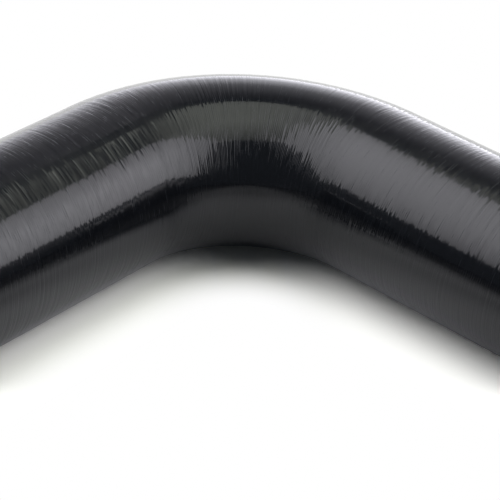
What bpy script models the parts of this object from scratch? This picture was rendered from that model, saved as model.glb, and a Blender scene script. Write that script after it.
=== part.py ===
"""Silicone elbow hose: one moulded rubber tube with a quarter bend between two straight legs.

It lies on its side on the ground, as a loose elbow comes to rest. One leg opens
towards -X and the other towards -Y, and the outside of the bend faces +X +Y.
Units are metres, and +Z is up.
"""

import math

import bmesh
import bpy
from mathutils import Vector

# Driving dimensions
BORE_DIAMETER = 0.051
WALL_THICKNESS = 0.0045
BEND_RADIUS = 0.065
BEND_ANGLE = math.radians(90)
LEG_LENGTH = 0.152
END_EDGE_RADIUS = 0.0004

# How finely the round forms are cut
BEND_STEPS = 20
SIDES_AROUND = 56
SHARP_ANGLE = math.radians(40)

# Worked out from the sizes above
OUTER_RADIUS = BORE_DIAMETER / 2 + WALL_THICKNESS
STRAIGHT_LENGTH = LEG_LENGTH - BEND_RADIUS * math.tan(BEND_ANGLE / 2)


def clear_scene():
    """Start from an empty scene."""
    for old in list(bpy.data.objects):
        bpy.data.objects.remove(old, do_unlink=True)


def black_silicone():
    """Moulded silicone rubber, black all through, with a glossy skin."""
    material = bpy.data.materials.new("black_silicone")
    material.use_nodes = True
    shader = material.node_tree.nodes["Principled BSDF"]
    shader.inputs["Base Color"].default_value = (0.005, 0.0055, 0.0065, 1.0)
    shader.inputs["Roughness"].default_value = 0.15
    shader.inputs["Metallic"].default_value = 0.0
    shader.inputs["IOR"].default_value = 1.41
    return material


def centreline():
    """Points along the tube's axis: a straight leg, the bend and the other leg."""
    points = [Vector((-STRAIGHT_LENGTH, BEND_RADIUS, 0.0))]
    for step in range(BEND_STEPS + 1):
        turn = BEND_ANGLE * step / BEND_STEPS
        points.append(BEND_RADIUS * Vector((math.sin(turn), math.cos(turn), 0.0)))
    way_out = Vector((math.cos(BEND_ANGLE), -math.sin(BEND_ANGLE), 0.0))
    points.append(points[-1] + STRAIGHT_LENGTH * way_out)
    return points


def outer_skin(name):
    """The hose's outer surface, open at both ends, as a curve with a round bevel."""
    curve = bpy.data.curves.new(name + "_centreline", "CURVE")
    curve.dimensions = "3D"
    curve.twist_mode = "Z_UP"
    curve.bevel_depth = OUTER_RADIUS
    curve.bevel_resolution = SIDES_AROUND // 2 - 2
    curve.use_fill_caps = False
    spline = curve.splines.new("POLY")
    route = centreline()
    spline.points.add(len(route) - 1)
    for spline_point, place in zip(spline.points, route):
        spline_point.co = (*place, 1.0)
    return bpy.data.objects.new(name, curve)


def as_mesh(curve_object):
    """Turn the bevelled curve into a welded mesh with its faces pointing out."""
    depsgraph = bpy.context.evaluated_depsgraph_get()
    mesh = bpy.data.meshes.new_from_object(curve_object.evaluated_get(depsgraph))
    skin = bmesh.new()
    skin.from_mesh(mesh)
    bmesh.ops.remove_doubles(skin, verts=skin.verts, dist=0.00001)
    bmesh.ops.recalc_face_normals(skin, faces=skin.faces)
    skin.to_mesh(mesh)
    skin.free()
    return mesh


def elbow_hose(collection):
    """The whole hose: its skin thickened inwards to the bore, with eased cut ends."""
    skin = outer_skin("elbow_hose_skin")
    collection.objects.link(skin)
    bpy.context.view_layer.update()
    hose = bpy.data.objects.new("elbow_hose", as_mesh(skin))
    hose.matrix_world = skin.matrix_world
    collection.objects.link(hose)
    bpy.data.objects.remove(skin, do_unlink=True)

    wall = hose.modifiers.new("wall", "SOLIDIFY")
    wall.thickness = WALL_THICKNESS
    wall.offset = -1.0
    wall.use_even_offset = True

    edges = hose.modifiers.new("cut_ends", "BEVEL")
    edges.width = END_EDGE_RADIUS
    edges.segments = 1
    edges.limit_method = "ANGLE"
    edges.angle_limit = SHARP_ANGLE

    hose.data.shade_smooth()
    hose.data.materials.append(black_silicone())
    return hose


def lay_on_ground(hose):
    """Put the bottom centre of the hose's box at the origin."""
    bpy.context.view_layer.update()
    depsgraph = bpy.context.evaluated_depsgraph_get()
    corners = [Vector(corner) for corner in hose.evaluated_get(depsgraph).bound_box]
    low = Vector([min(corner[axis] for corner in corners) for axis in range(3)])
    high = Vector([max(corner[axis] for corner in corners) for axis in range(3)])
    hose.location = (-(low.x + high.x) / 2, -(low.y + high.y) / 2, -low.z)


def main():
    clear_scene()
    parts = bpy.data.collections.new("silicone_elbow_hose")
    bpy.context.scene.collection.children.link(parts)
    lay_on_ground(elbow_hose(parts))
    bpy.context.view_layer.update()


main()
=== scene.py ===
"""Looks of the silicone elbow hose: its moulded skin, bore and cut ends, on a white studio floor.

Units are metres, and +Z is up. The hose lies on its side: one leg opens towards -X
and the other towards -Y, with the outside of the bend facing +X +Y.
"""

import math

import bmesh
import bpy
from mathutils import Matrix, Vector, noise


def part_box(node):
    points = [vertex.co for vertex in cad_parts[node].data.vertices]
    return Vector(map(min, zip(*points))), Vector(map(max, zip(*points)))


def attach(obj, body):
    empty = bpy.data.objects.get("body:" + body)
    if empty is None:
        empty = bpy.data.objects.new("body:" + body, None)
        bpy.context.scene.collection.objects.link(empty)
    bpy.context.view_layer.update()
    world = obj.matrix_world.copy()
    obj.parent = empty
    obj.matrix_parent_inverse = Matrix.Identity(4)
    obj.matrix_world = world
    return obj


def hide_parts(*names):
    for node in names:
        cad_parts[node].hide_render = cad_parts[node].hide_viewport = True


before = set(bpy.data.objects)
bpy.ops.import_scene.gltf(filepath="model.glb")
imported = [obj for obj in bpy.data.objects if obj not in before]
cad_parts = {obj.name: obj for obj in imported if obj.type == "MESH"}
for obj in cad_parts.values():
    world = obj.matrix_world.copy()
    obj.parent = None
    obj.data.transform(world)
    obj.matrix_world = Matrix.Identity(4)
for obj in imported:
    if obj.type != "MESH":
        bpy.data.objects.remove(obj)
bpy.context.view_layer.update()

# The hose's sizes: the box gives the tube's diameter and where its legs end
hose_low, hose_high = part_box("elbow_hose")
OUTER_RADIUS = (hose_high[2] - hose_low[2]) / 2
WALL_THICKNESS = 0.0045
BORE_RADIUS = OUTER_RADIUS - WALL_THICKNESS
BEND_RADIUS = 0.065
LEG_AXIS = hose_high[0] - OUTER_RADIUS
BEND_CENTRE = Vector((LEG_AXIS - BEND_RADIUS, LEG_AXIS - BEND_RADIUS, OUTER_RADIUS))
STRAIGHT_LENGTH = BEND_CENTRE.x - hose_low[0]
BEND_LENGTH = BEND_RADIUS * math.pi / 2
CENTRELINE_LENGTH = 2 * STRAIGHT_LENGTH + BEND_LENGTH

# How finely the tube is cut, and the plain stretch at each end that the edge rounding takes
SIDES_AROUND = 84
SKIN_STEP = 0.00025
BORE_STEP = 0.004
END_MARGIN = 0.0012
END_EDGE_RADIUS = 0.0004
END_EDGE_SEGMENTS = 3
MERGE_DISTANCE = 0.000001

# The hose's finishes, as its material slots number them
SKIN_FINISH = 0
BORE_FINISH = 1
CUT_FINISH = 2

# Wrapping marks: fine ridges round the tube, slightly helical, left by the cloth tape of the mould.
# Their helix unwinds again over the underside, so that the marks meet there.
WRAP_TILT = math.tan(math.radians(3.15))
WRAP_UNWIND = math.radians(60)
WRAP_MARKS = (
    # width along the tube, length round the tube, height
    (0.0010, 0.028, 0.000036),
    (0.0005, 0.012, 0.000030),
)
WRAP_MARKS_APART = 31.7
SKIN_SINK = sum(height for _, _, height in WRAP_MARKS)

# Threads of the tape, too fine for the mesh. A groove between two of them reaches a share of
# their spacing to each side, which is 0.15 mm.
THREAD_SPACING = 0.0008
GROOVE_SHARE = 0.19
GROOVE_DEPTH = 0.000022

# Studio axes: seen from the camera, to the right, away and up, from the middle of the bend
RIGHT = Vector((1, -1, 0)).normalized()
AWAY = Vector((1, 1, 0)).normalized()
UP = Vector((0, 0, 1))
BEND_MIDDLE = BEND_CENTRE + BEND_RADIUS * AWAY

# How far the softboxes stand from the bend, and how wide the paper floor lies
PANEL_DISTANCE = 0.9
FLOOR_RADIUS = 6.0
FLOOR_SIDES = 64

# The floor as the hose reflects it, with painted light and shade in its colour. In front of the hose
# its painted light falls off with the distance from the bend, and painted shade leaves only a share
# of it on the middle line and out to both sides.
FRONT_CENTRE = BEND_MIDDLE - OUTER_RADIUS * UP - 0.02 * RIGHT - 0.02 * AWAY
FRONT_REACH = (0.03, 0.17)
FRONT_PAINTED_LIGHT = (1.05, 0.42)
MIDDLE_LINE_REACH = 0.05
MIDDLE_LINE_PAINTED_SHADE = 0.70
TO_SIDES_REACH = (0.08, 0.24)
TO_SIDES_PAINTED_SHADE = 0.15

# Behind the hose the paper glows: painted light for the sweep's light on it. The glow starts past
# the tube, on the far side of the origin, and gets brighter with the distance outside the centreline.
BEHIND_TUBE = (0.03, 0.07)
BEHIND_ORIGIN = (0.0, 0.05)
BEHIND_REACH = (0.05, 0.50)
BEHIND_PAINTED_LIGHT = (1.1, 1.7)

# The floor as the camera sees it. Its colour gain paints shade and light into the hose's shadow:
# darker at the bend and lighter beside each leg, going over from the bend's gain to each leg's to the
# left and to the right of the middle line. Its tint paints the shadow warmer against the softboxes'
# cool light. The shadow turns to plain white with the distance from the centreline and, past the open
# ends, from the origin.
BEND_PAINTED_SHADE_GAIN = 0.97
LEFT_GAIN = 1.64
RIGHT_GAIN = 1.48
LEFT_GAIN_REACH = (0.0, -0.035)
RIGHT_GAIN_REACH = (0.008, 0.040)
SHADOW_TINT = (1.02, 1.02, 0.94)
SHADOW_FADES = (0.020, 0.044)
SHADOW_ENDS = (0.14, 0.19)

# The camera: how it is turned, how far it stands, where it looks and its lens
CAMERA_ELEVATION = math.radians(33.56)
CAMERA_YAW = math.radians(6.18)
CAMERA_ROLL = math.radians(4.54)
CAMERA_DISTANCE = 0.6584
CAMERA_AIM = BEND_MIDDLE - 0.0001 * RIGHT - 0.0564 * AWAY
SENSOR_WIDTH = 36.0
LENS = 145.5


def srgb(code):
    """A colour written as #rrggbb, as linear light."""
    channels = [int(code[start:start + 2], 16) / 255 for start in (1, 3, 5)]
    linear = [
        value / 12.92 if value <= 0.04045 else ((value + 0.055) / 1.055) ** 2.4
        for value in channels
    ]
    return (*linear, 1.0)


def add_node(tree, kind, links=(), **settings):
    """Add a node, set its properties and input values, and join its inputs to other nodes' outputs."""
    node = tree.nodes.new(kind)
    for name, value in settings.items():
        if name.startswith("in_"):
            key = name[3:]
            node.inputs[int(key) if key.isdigit() else key.replace("_", " ")].default_value = value
        else:
            setattr(node, name, value)
    for target, source in links:
        tree.links.new(source, node.inputs[target])
    return node


def new_material(name):
    """An empty node material and its output node."""
    material = bpy.data.materials.new(name)
    material.use_nodes = True
    material.node_tree.nodes.clear()
    output = material.node_tree.nodes.new("ShaderNodeOutputMaterial")
    return material, material.node_tree, output


def add_object(name, mesh, materials):
    """Make an object at the origin from a finished bmesh and its materials."""
    data = bpy.data.meshes.new(name)
    mesh.to_mesh(data)
    mesh.free()
    for material in materials:
        data.materials.append(material)
    made = bpy.data.objects.new(name, data)
    bpy.context.scene.collection.objects.link(made)
    return made


def moulded_silicone_skin():
    """Black silicone rubber cured in a wrap: a glossy skin with fine marks round the tube."""
    material, tree, output = new_material("moulded_silicone_skin")
    # the attribute is in metres; the threads drift by up to one spacing over 20 mm round the tube
    place = add_node(tree, "ShaderNodeAttribute", attribute_name="wrap")
    drifting = add_node(
        tree, "ShaderNodeMapping", [("Vector", place.outputs["Vector"])],
        in_Scale=(1 / 0.004, 1 / 0.020, 1 / 0.020),
    )
    drift = add_node(
        tree, "ShaderNodeTexNoise", [("Vector", drifting.outputs["Vector"])],
        in_Scale=1.0, in_Detail=2.0, in_Roughness=0.5,
    )
    parts = add_node(tree, "ShaderNodeSeparateXYZ", [("Vector", place.outputs["Vector"])])
    thread = add_node(
        tree, "ShaderNodeMath", [(0, parts.outputs["X"]), (2, drift.outputs["Fac"])],
        operation="MULTIPLY_ADD", in_1=1 / THREAD_SPACING,
    )
    from_groove = add_node(
        tree, "ShaderNodeMath", [(0, thread.outputs["Value"])], operation="PINGPONG", in_1=0.5,
    )
    # the grooves between the threads are deep here and shallow there, in patches 1 mm by 5 mm
    patches = add_node(
        tree, "ShaderNodeMapping", [("Vector", place.outputs["Vector"])],
        in_Scale=(1 / 0.0010, 1 / 0.005, 1 / 0.005),
    )
    patch = add_node(
        tree, "ShaderNodeTexNoise", [("Vector", patches.outputs["Vector"])],
        in_Scale=1.0, in_Detail=1.0, in_Roughness=0.5,
    )
    depth = add_node(
        tree, "ShaderNodeMapRange", [("Value", patch.outputs["Fac"])],
        in_From_Min=0.36, in_From_Max=0.68, in_To_Min=-0.45, in_To_Max=-1.0,
    )
    groove = add_node(
        tree, "ShaderNodeMapRange",
        [("Value", from_groove.outputs["Value"]), ("To Min", depth.outputs["Result"])],
        interpolation_type="SMOOTHSTEP", in_From_Min=0.0, in_From_Max=GROOVE_SHARE, in_To_Max=0.0,
    )
    bump = add_node(
        tree, "ShaderNodeBump", [("Height", groove.outputs["Result"])],
        in_Strength=1.0, in_Distance=GROOVE_DEPTH,
    )
    # the tape's threads pressed the skin glossy, and the grooves between them stayed satin
    gloss = add_node(
        tree, "ShaderNodeMapRange", [("Value", groove.outputs["Result"])],
        in_From_Min=-1.0, in_From_Max=0.0, in_To_Min=0.30, in_To_Max=0.07,
    )
    colour = add_node(
        tree, "ShaderNodeMix", [("Factor", patch.outputs["Fac"])],
        data_type="RGBA", in_6=srgb("#090a0c"), in_7=srgb("#101216"),
    )
    shader = add_node(tree, "ShaderNodeBsdfPrincipled", [
        ("Base Color", colour.outputs[2]), ("Roughness", gloss.outputs["Result"]),
        ("Normal", bump.outputs["Normal"]),
    ], in_Metallic=0.0, in_IOR=1.5)
    tree.links.new(shader.outputs["BSDF"], output.inputs["Surface"])
    return material


def mandrel_formed_bore():
    """The bore's silicone, formed on a polished steel mandrel: satin, with faint draw lines along it."""
    material, tree, output = new_material("mandrel_formed_bore")
    # the attribute is in metres: lines 0.8 mm wide and 50 mm long, left as the hose is pulled off
    place = add_node(tree, "ShaderNodeAttribute", attribute_name="wrap")
    along_bore = add_node(
        tree, "ShaderNodeMapping", [("Vector", place.outputs["Vector"])],
        in_Scale=(1 / 0.050, 1 / 0.0008, 1 / 0.0008),
    )
    lines = add_node(
        tree, "ShaderNodeTexNoise", [("Vector", along_bore.outputs["Vector"])],
        in_Scale=1.0, in_Detail=2.0, in_Roughness=0.5,
    )
    bump = add_node(
        tree, "ShaderNodeBump", [("Height", lines.outputs["Fac"])],
        in_Strength=1.0, in_Distance=0.000015,
    )
    gloss = add_node(
        tree, "ShaderNodeMapRange", [("Value", lines.outputs["Fac"])],
        in_From_Min=0.3, in_From_Max=0.7, in_To_Min=0.26, in_To_Max=0.40,
    )
    colour = add_node(
        tree, "ShaderNodeMix", [("Factor", lines.outputs["Fac"])],
        data_type="RGBA", in_6=srgb("#0d0e10"), in_7=srgb("#15161a"),
    )
    shader = add_node(tree, "ShaderNodeBsdfPrincipled", [
        ("Base Color", colour.outputs[2]), ("Roughness", gloss.outputs["Result"]),
        ("Normal", bump.outputs["Normal"]),
    ], in_Metallic=0.0, in_IOR=1.5)
    tree.links.new(shader.outputs["BSDF"], output.inputs["Surface"])
    return material


def knife_cut_silicone():
    """The wall's cut face at each end: the hose turned against a blade, which left fine matt rings."""
    material, tree, output = new_material("knife_cut_silicone")
    place = add_node(tree, "ShaderNodeAttribute", attribute_name="wrap")
    across = add_node(
        tree, "ShaderNodeVectorMath", [(0, place.outputs["Vector"])],
        operation="MULTIPLY", in_1=(0.0, 1.0, 1.0),
    )
    from_axis = add_node(
        tree, "ShaderNodeVectorMath", [(0, across.outputs["Vector"])], operation="LENGTH",
    )
    # rings 0.3 mm wide, coarser than the blade's own so that they show
    ring = add_node(
        tree, "ShaderNodeMath", [(0, from_axis.outputs["Value"])], operation="DIVIDE", in_1=0.0003,
    )
    rings = add_node(
        tree, "ShaderNodeTexNoise", [("W", ring.outputs["Value"])],
        noise_dimensions="1D", in_Scale=1.0, in_Detail=2.0, in_Roughness=0.6,
    )
    bump = add_node(
        tree, "ShaderNodeBump", [("Height", rings.outputs["Fac"])],
        in_Strength=1.0, in_Distance=0.00004,
    )
    gloss = add_node(
        tree, "ShaderNodeMapRange", [("Value", rings.outputs["Fac"])],
        in_From_Min=0.3, in_From_Max=0.7, in_To_Min=0.50, in_To_Max=0.68,
    )
    colour = add_node(
        tree, "ShaderNodeMix", [("Factor", rings.outputs["Fac"])],
        data_type="RGBA", in_6=srgb("#121316"), in_7=srgb("#1c1e21"),
    )
    shader = add_node(tree, "ShaderNodeBsdfPrincipled", [
        ("Base Color", colour.outputs[2]), ("Roughness", gloss.outputs["Result"]),
        ("Normal", bump.outputs["Normal"]),
    ], in_Metallic=0.0, in_IOR=1.5)
    tree.links.new(shader.outputs["BSDF"], output.inputs["Surface"])
    return material


def centreline(along):
    """The centreline's point at a distance from the first end, and the direction out of the bend there."""
    if along <= STRAIGHT_LENGTH:
        return Vector((hose_low[0] + along, LEG_AXIS, OUTER_RADIUS)), Vector((0, 1, 0))
    if along >= STRAIGHT_LENGTH + BEND_LENGTH:
        to_end = CENTRELINE_LENGTH - along
        return Vector((LEG_AXIS, hose_low[1] + to_end, OUTER_RADIUS)), Vector((1, 0, 0))
    turn = (along - STRAIGHT_LENGTH) / BEND_RADIUS
    outward = Vector((math.sin(turn), math.cos(turn), 0))
    return BEND_CENTRE + BEND_RADIUS * outward, outward


def wrap_place(along, around, radius):
    """A point's place in the wrap: along the hose with the helix unwound, then across the section."""
    from_under = (around + math.pi / 2) % (2 * math.pi)
    wound = min(from_under, (2 * math.pi - from_under) * (2 * math.pi - WRAP_UNWIND) / WRAP_UNWIND)
    slid = along + WRAP_TILT * OUTER_RADIUS * wound
    return Vector((slid, radius * math.cos(around), radius * math.sin(around)))


def mark_height(wrapped, along):
    """Height of the marked skin over the tube's full radius: never above it, and level at the ends."""
    height = -SKIN_SINK
    for number, (width, length, tall) in enumerate(WRAP_MARKS):
        apart = WRAP_MARKS_APART * number
        spot = Vector((wrapped.x / width + apart, wrapped.y / length, wrapped.z / length))
        height += tall * noise.noise(spot)
    from_end = min(along, CENTRELINE_LENGTH - along)
    return height * min(1.0, max(0.0, (from_end - END_MARGIN) / END_MARGIN))


def ring_places(step):
    """Where the rings lie along the hose, with a plain stretch at both ends."""
    middle = CENTRELINE_LENGTH - 2 * END_MARGIN
    count = round(middle / step)
    inner = [END_MARGIN + middle * number / count for number in range(count + 1)]
    return [0.0, *inner, CENTRELINE_LENGTH]


def straight_tube(rings):
    """A straight open tube along Z with its rings one unit apart, and its faces sorted by finish."""
    steps = len(rings) - 1
    mesh = bmesh.new()
    bmesh.ops.create_cone(
        mesh, cap_ends=False, segments=SIDES_AROUND, radius1=1.0, radius2=1.0, depth=steps,
    )
    sides = [edge for edge in mesh.edges if edge.verts[0].co.z != edge.verts[1].co.z]
    bmesh.ops.subdivide_edges(mesh, edges=sides, cuts=steps - 1)
    for face in mesh.faces:
        number = math.floor(face.calc_center_median().z + steps / 2)
        radii = {rings[number][1], rings[number + 1][1]}
        if radii == {OUTER_RADIUS}:
            face.material_index = SKIN_FINISH
        elif radii == {BORE_RADIUS}:
            face.material_index = BORE_FINISH
        else:
            face.material_index = CUT_FINISH
    return mesh


def lay_along_hose(mesh, rings):
    """Lay the straight tube's rings at their places along the hose, and close it up."""
    steps = len(rings) - 1
    wrap = mesh.verts.layers.float_vector.new("wrap")
    for vert in mesh.verts:
        along, radius = rings[round(vert.co.z + steps / 2)]
        around = math.atan2(vert.co.y, vert.co.x)
        wrapped = wrap_place(along, around, radius)
        raised = mark_height(wrapped, along) if radius == OUTER_RADIUS else 0.0
        middle, outward = centreline(along)
        sideways = math.cos(around) * outward + math.sin(around) * UP
        vert.co = middle + (radius + raised) * sideways
        vert[wrap] = wrapped
    bmesh.ops.remove_doubles(mesh, verts=mesh.verts, dist=MERGE_DISTANCE)
    bmesh.ops.recalc_face_normals(mesh, faces=mesh.faces)


def round_cut_edges(mesh):
    """Round the edges where the cut faces meet the skin and the bore."""
    rims = [
        edge for edge in mesh.edges
        if edge.link_faces[0].material_index != edge.link_faces[1].material_index
    ]
    bmesh.ops.bevel(
        mesh, geom=rims, affect="EDGES", offset=END_EDGE_RADIUS, offset_type="OFFSET",
        segments=END_EDGE_SEGMENTS, profile=0.5, material=-1, clamp_overlap=True,
    )


def hose_moulding():
    """The hose in one piece: rings laid along its skin from end to end, and back along its bore."""
    rings = [(along, OUTER_RADIUS) for along in ring_places(SKIN_STEP)]
    rings += [(along, BORE_RADIUS) for along in reversed(ring_places(BORE_STEP))]
    # the last ring lies on the first, and the two are merged there
    rings.append(rings[0])
    mesh = straight_tube(rings)
    lay_along_hose(mesh, rings)
    round_cut_edges(mesh)
    for face in mesh.faces:
        face.smooth = True
    # in the order of SKIN_FINISH, BORE_FINISH and CUT_FINISH
    finishes = (moulded_silicone_skin(), mandrel_formed_bore(), knife_cut_silicone())
    hose = add_object("elbow_hose_moulding", mesh, finishes)
    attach(hose, "root")
    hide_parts("elbow_hose")


def light_panel(name, corners, strengths, tint):
    """A softbox: a flat glowing panel that the camera doesn't see.

    Its strengths are given in rows from low to high, each from its first side to its second.
    """
    low_first, low_second, high_first, high_second = corners
    rows, columns = len(strengths) - 1, len(strengths[0]) - 1
    mesh = bmesh.new()
    glow = mesh.verts.layers.float.new("glow")
    bmesh.ops.create_grid(mesh, x_segments=columns, y_segments=rows, size=0.5)
    for vert in mesh.verts:
        across, up = vert.co.x + 0.5, vert.co.y + 0.5
        vert[glow] = strengths[round(up * rows)][round(across * columns)]
        low = low_first.lerp(low_second, across)
        vert.co = low.lerp(high_first.lerp(high_second, across), up)
    material, tree, output = new_material(name)
    strength = add_node(tree, "ShaderNodeAttribute", attribute_name="glow")
    light = add_node(
        tree, "ShaderNodeEmission", [("Strength", strength.outputs["Fac"])], in_Color=tint,
    )
    tree.links.new(light.outputs["Emission"], output.inputs["Surface"])
    panel = add_object(name, mesh, [material])
    panel.visible_camera = False
    panel.visible_shadow = False


def facing_panel(name, azimuth, elevation, roll, spans, strengths, tint):
    """A softbox that faces the bend from one direction, given in degrees from straight away.

    Its spans are from near to far and from low to high, measured from its middle.
    """
    azimuth, elevation, roll = (math.radians(angle) for angle in (azimuth, elevation, roll))
    flat = math.sin(azimuth) * RIGHT + math.cos(azimuth) * AWAY
    towards = math.cos(elevation) * flat + math.sin(elevation) * UP
    level = towards.cross(UP).normalized()
    rising = level.cross(towards)
    side = math.cos(roll) * level + math.sin(roll) * rising
    height = math.cos(roll) * rising - math.sin(roll) * level
    near, far, low, high = spans
    middle = BEND_MIDDLE + PANEL_DISTANCE * towards
    corners = [
        middle + across * side + tall * height
        for across, tall in ((near, low), (far, low), (near, high), (far, high))
    ]
    light_panel(name, corners, strengths, tint)


def studio_place(right, away, up):
    """A point given in studio axes."""
    return BEND_MIDDLE + right * RIGHT + away * AWAY + up * UP


def studio_lights():
    """Two softboxes beside the hose, one overhead, and the bright sweep behind it."""
    cool = (0.985, 0.975, 1.035, 1.0)
    olive = (0.98, 1.02, 0.93, 1.0)
    pale_blue = (0.98, 0.97, 1.05, 1.0)
    facing_panel(
        "right_softbox", azimuth=115, elevation=32, roll=0, spans=(0.28, -0.50, -0.315, 0.405),
        strengths=((2.1, 2.5, 2.9), (2.1, 3.6, 4.4), (2.2, 2.8, 2.5)), tint=cool,
    )
    facing_panel(
        "left_softbox", azimuth=-105, elevation=40, roll=17.5, spans=(-0.285, 1.05, -0.309, 0.645),
        strengths=((2.0, 2.2, 2.8), (2.5, 3.6, 3.8), (2.3, 2.9, 2.8)), tint=cool,
    )
    # the overhead softbox's far edge runs level and then slants forward to the right, where a
    # narrow strip follows it: the places are right and away, near edge first
    overhead_parts = (
        (
            ((-0.20, -0.58), (0.25, -0.58), (-0.20, 0.41), (0.25, 0.41)),
            ((0.15, 0.40, 0.6), (0.8, 1.65, 1.95), (0.4, 1.4, 1.7)),
        ),
        (
            ((0.25, -0.58), (0.80, -0.58), (0.25, 0.41), (0.70, 0.17)),
            ((0.6, 0.6, 0.5), (1.95, 1.3, 0.85), (1.6, 0.7, 0.6)),
        ),
        (
            ((0.42, 0.48), (0.80, 0.23), (0.45, 0.56), (0.88, 0.29)),
            ((2.4, 1.4), (2.4, 1.4)),
        ),
    )
    for places, strengths in overhead_parts:
        corners = [studio_place(right, away, PANEL_DISTANCE) for right, away in places]
        light_panel("overhead_softbox", corners, strengths, olive)
    # the sweep fades upwards and to the left: each level is a height and its strength
    left, right = -0.30, 0.45
    left_share, right_share = 0.38, 1.35
    levels = ((-0.02, 4.7), (0.12, 3.1), (0.32, 1.80), (0.62, 0.66), (1.45, 0.14))
    for (bottom, lower), (top, upper) in zip(levels, levels[1:]):
        corners = [
            studio_place(across, PANEL_DISTANCE, up)
            for across, up in ((left, bottom), (right, bottom), (left, top), (right, top))
        ]
        strengths = [(left_share * strength, right_share * strength) for strength in (lower, upper)]
        light_panel("back_sweep", corners, strengths, pale_blue)


def paper_in_reflections(tree, place, side, outside):
    """The paper as the hose's gloss shows it: in front a colour of painted light and shade in a dim room,
    and behind a glow that paints the light below the sweep.
    """
    # in front, its colour paints light between the legs that falls off with the distance, and painted
    # shade darkens it to both sides
    reach = add_node(
        tree, "ShaderNodeVectorMath", [(0, place.outputs["Object"])],
        operation="DISTANCE", in_1=FRONT_CENTRE,
    )
    painted_falloff = add_node(
        tree, "ShaderNodeMapRange", [("Value", reach.outputs["Value"])],
        interpolation_type="SMOOTHSTEP", in_From_Min=FRONT_REACH[0], in_From_Max=FRONT_REACH[1],
        in_To_Min=FRONT_PAINTED_LIGHT[0], in_To_Max=FRONT_PAINTED_LIGHT[1],
    )
    to_side = add_node(
        tree, "ShaderNodeMath", [(0, side.outputs["Value"])], operation="ABSOLUTE",
    )
    shade_on_middle_line = add_node(
        tree, "ShaderNodeMapRange", [("Value", to_side.outputs["Value"])],
        interpolation_type="SMOOTHSTEP", in_From_Min=0.0, in_From_Max=MIDDLE_LINE_REACH,
        in_To_Min=MIDDLE_LINE_PAINTED_SHADE, in_To_Max=1.0,
    )
    shade_to_sides = add_node(
        tree, "ShaderNodeMapRange",
        [("Value", to_side.outputs["Value"]), ("To Min", shade_on_middle_line.outputs["Result"])],
        interpolation_type="SMOOTHSTEP", in_From_Min=TO_SIDES_REACH[0],
        in_From_Max=TO_SIDES_REACH[1], in_To_Max=TO_SIDES_PAINTED_SHADE,
    )
    front_painted_light = add_node(
        tree, "ShaderNodeMath",
        [(0, painted_falloff.outputs["Result"]), (1, shade_to_sides.outputs["Result"])],
        operation="MULTIPLY",
    )
    # the paper's colour carries this painted light and shade, and the lamps light it as well
    paper_with_painted_falloff = add_node(tree, "ShaderNodeBsdfDiffuse", [("Color", front_painted_light.outputs["Value"])])
    # behind, a glow paints the sweep's light on the paper: it starts past the hose's far side and gets
    # brighter with the distance
    past_tube = add_node(
        tree, "ShaderNodeMapRange", [("Value", outside.outputs["Value"])],
        interpolation_type="SMOOTHSTEP", in_From_Min=BEHIND_TUBE[0], in_From_Max=BEHIND_TUBE[1],
    )
    away = add_node(
        tree, "ShaderNodeVectorMath", [(0, place.outputs["Object"])],
        operation="DOT_PRODUCT", in_1=AWAY,
    )
    past_origin = add_node(
        tree, "ShaderNodeMapRange", [("Value", away.outputs["Value"])],
        interpolation_type="SMOOTHSTEP", in_From_Min=BEHIND_ORIGIN[0], in_From_Max=BEHIND_ORIGIN[1],
    )
    behind = add_node(
        tree, "ShaderNodeMath",
        [(0, past_tube.outputs["Result"]), (1, past_origin.outputs["Result"])],
        operation="MULTIPLY",
    )
    painted_glow_behind = add_node(
        tree, "ShaderNodeMapRange", [("Value", outside.outputs["Value"])],
        in_From_Min=BEHIND_REACH[0], in_From_Max=BEHIND_REACH[1],
        in_To_Min=BEHIND_PAINTED_LIGHT[0], in_To_Max=BEHIND_PAINTED_LIGHT[1],
    )
    # painted light: the paper glows here though it is no lamp
    paper_glowing_with_painted_light = add_node(tree, "ShaderNodeEmission", [("Strength", painted_glow_behind.outputs["Result"])])
    return add_node(tree, "ShaderNodeMixShader", [
        (0, behind.outputs["Value"]), (1, paper_with_painted_falloff.outputs["BSDF"]), (2, paper_glowing_with_painted_light.outputs["Emission"]),
    ])


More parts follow.
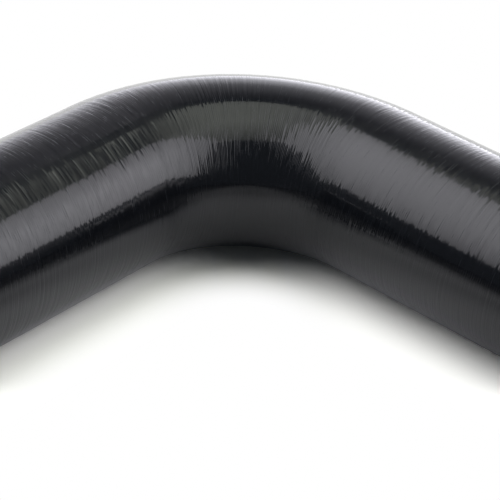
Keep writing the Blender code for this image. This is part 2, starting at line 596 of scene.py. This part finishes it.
def paper_in_view(tree, place, side, outside):
    """The paper as the camera sees it: the hose's shadow beside the hose, with painted shade at the bend
    and painted light beside the legs, and plain white further off.
    """
    # painted shade and light: the colour's gain darkens the hose's shadow at the bend and lightens it
    # beside the legs
    left_gain = add_node(
        tree, "ShaderNodeMapRange", [("Value", side.outputs["Value"])],
        interpolation_type="SMOOTHSTEP", in_From_Min=LEFT_GAIN_REACH[0],
        in_From_Max=LEFT_GAIN_REACH[1], in_To_Min=BEND_PAINTED_SHADE_GAIN, in_To_Max=LEFT_GAIN,
    )
    gain = add_node(
        tree, "ShaderNodeMapRange",
        [("Value", side.outputs["Value"]), ("To Min", left_gain.outputs["Result"])],
        interpolation_type="SMOOTHSTEP", in_From_Min=RIGHT_GAIN_REACH[0],
        in_From_Max=RIGHT_GAIN_REACH[1], in_To_Max=RIGHT_GAIN,
    )
    # painted light: a warm tint that offsets the cool softboxes in the shadow
    tinted = add_node(
        tree, "ShaderNodeVectorMath", [("Scale", gain.outputs["Result"])],
        operation="SCALE", in_0=SHADOW_TINT,
    )
    shaded = add_node(tree, "ShaderNodeBsdfDiffuse", [("Color", tinted.outputs["Vector"])])
    sideways = add_node(
        tree, "ShaderNodeMath", [(0, outside.outputs["Value"])], operation="ABSOLUTE",
    )
    beside_hose = add_node(
        tree, "ShaderNodeMapRange", [("Value", sideways.outputs["Value"])],
        interpolation_type="SMOOTHSTEP", in_From_Min=SHADOW_FADES[0], in_From_Max=SHADOW_FADES[1],
    )
    from_origin = add_node(
        tree, "ShaderNodeVectorMath", [(0, place.outputs["Object"])], operation="LENGTH",
    )
    past_ends = add_node(
        tree, "ShaderNodeMapRange", [("Value", from_origin.outputs["Value"])],
        interpolation_type="SMOOTHSTEP", in_From_Min=SHADOW_ENDS[0], in_From_Max=SHADOW_ENDS[1],
    )
    fade = add_node(
        tree, "ShaderNodeMath",
        [(0, beside_hose.outputs["Result"]), (1, past_ends.outputs["Result"])],
        operation="MAXIMUM",
    )
    white = add_node(tree, "ShaderNodeEmission", in_Color=(1, 1, 1, 1), in_Strength=1.0)
    return add_node(tree, "ShaderNodeMixShader", [
        (0, fade.outputs["Value"]), (1, shaded.outputs["BSDF"]), (2, white.outputs["Emission"]),
    ])


def white_floor():
    """The paper floor, which the camera sees in one way and the hose's gloss in another."""
    mesh = bmesh.new()
    bmesh.ops.create_circle(mesh, cap_ends=True, radius=FLOOR_RADIUS, segments=FLOOR_SIDES)
    material, tree, output = new_material("white_paper_floor")
    place = add_node(tree, "ShaderNodeTexCoord")
    side = add_node(
        tree, "ShaderNodeVectorMath", [(0, place.outputs["Object"])],
        operation="DOT_PRODUCT", in_1=RIGHT,
    )
    # how far a point lies outside the centreline: below zero between the legs
    from_centre = add_node(
        tree, "ShaderNodeVectorMath", [(0, place.outputs["Object"])],
        operation="SUBTRACT", in_1=BEND_CENTRE,
    )
    outer_part = add_node(
        tree, "ShaderNodeVectorMath", [(0, from_centre.outputs["Vector"])],
        operation="MAXIMUM", in_1=(0.0, 0.0, 0.0),
    )
    from_bend = add_node(
        tree, "ShaderNodeVectorMath", [(0, outer_part.outputs["Vector"])], operation="LENGTH",
    )
    outside = add_node(
        tree, "ShaderNodeMath", [(0, from_bend.outputs["Value"])],
        operation="SUBTRACT", in_1=BEND_RADIUS,
    )
    reflected = paper_in_reflections(tree, place, side, outside)
    shown = paper_in_view(tree, place, side, outside)
    path = add_node(tree, "ShaderNodeLightPath")
    either = add_node(tree, "ShaderNodeMixShader", [
        (0, path.outputs["Is Camera Ray"]), (1, reflected.outputs["Shader"]), (2, shown.outputs["Shader"]),
    ])
    tree.links.new(either.outputs["Shader"], output.inputs["Surface"])
    add_object("floor", mesh, [material])


def studio_world():
    """White where the camera looks past the floor, and a dim room everywhere else."""
    world = bpy.data.worlds.new("studio")
    bpy.context.scene.world = world
    world.use_nodes = True
    tree = world.node_tree
    tree.nodes.clear()
    path = add_node(tree, "ShaderNodeLightPath")
    white = add_node(tree, "ShaderNodeBackground", in_Color=(1, 1, 1, 1), in_Strength=1.0)
    room = add_node(tree, "ShaderNodeBackground", in_Color=(0.85, 0.95, 1.1, 1), in_Strength=0.10)
    mixed = add_node(tree, "ShaderNodeMixShader", [
        (0, path.outputs["Is Camera Ray"]), (1, room.outputs["Background"]),
        (2, white.outputs["Background"]),
    ])
    add_node(tree, "ShaderNodeOutputWorld", [("Surface", mixed.outputs["Shader"])])


def studio_camera():
    """The camera looks down at the inside of the bend, a little rolled, through a long lens."""
    level = math.sin(CAMERA_YAW) * RIGHT + math.cos(CAMERA_YAW) * AWAY
    forward = math.cos(CAMERA_ELEVATION) * level - math.sin(CAMERA_ELEVATION) * UP
    side = math.cos(CAMERA_YAW) * RIGHT - math.sin(CAMERA_YAW) * AWAY
    top = side.cross(forward)
    rolled_side = math.cos(CAMERA_ROLL) * side + math.sin(CAMERA_ROLL) * top
    rolled_top = math.cos(CAMERA_ROLL) * top - math.sin(CAMERA_ROLL) * side
    data = bpy.data.cameras.new("camera")
    data.sensor_width = SENSOR_WIDTH
    data.lens = LENS
    camera = bpy.data.objects.new("camera", data)
    bpy.context.scene.collection.objects.link(camera)
    turn = Matrix((rolled_side, rolled_top, -forward)).transposed()
    camera.matrix_world = Matrix.Translation(CAMERA_AIM - CAMERA_DISTANCE * forward) @ turn.to_4x4()
    bpy.context.scene.camera = camera


studio_camera()
studio_world()
white_floor()
studio_lights()
hose_moulding()
bpy.context.scene.view_settings.view_transform = "Standard"

bpy.context.view_layer.update()
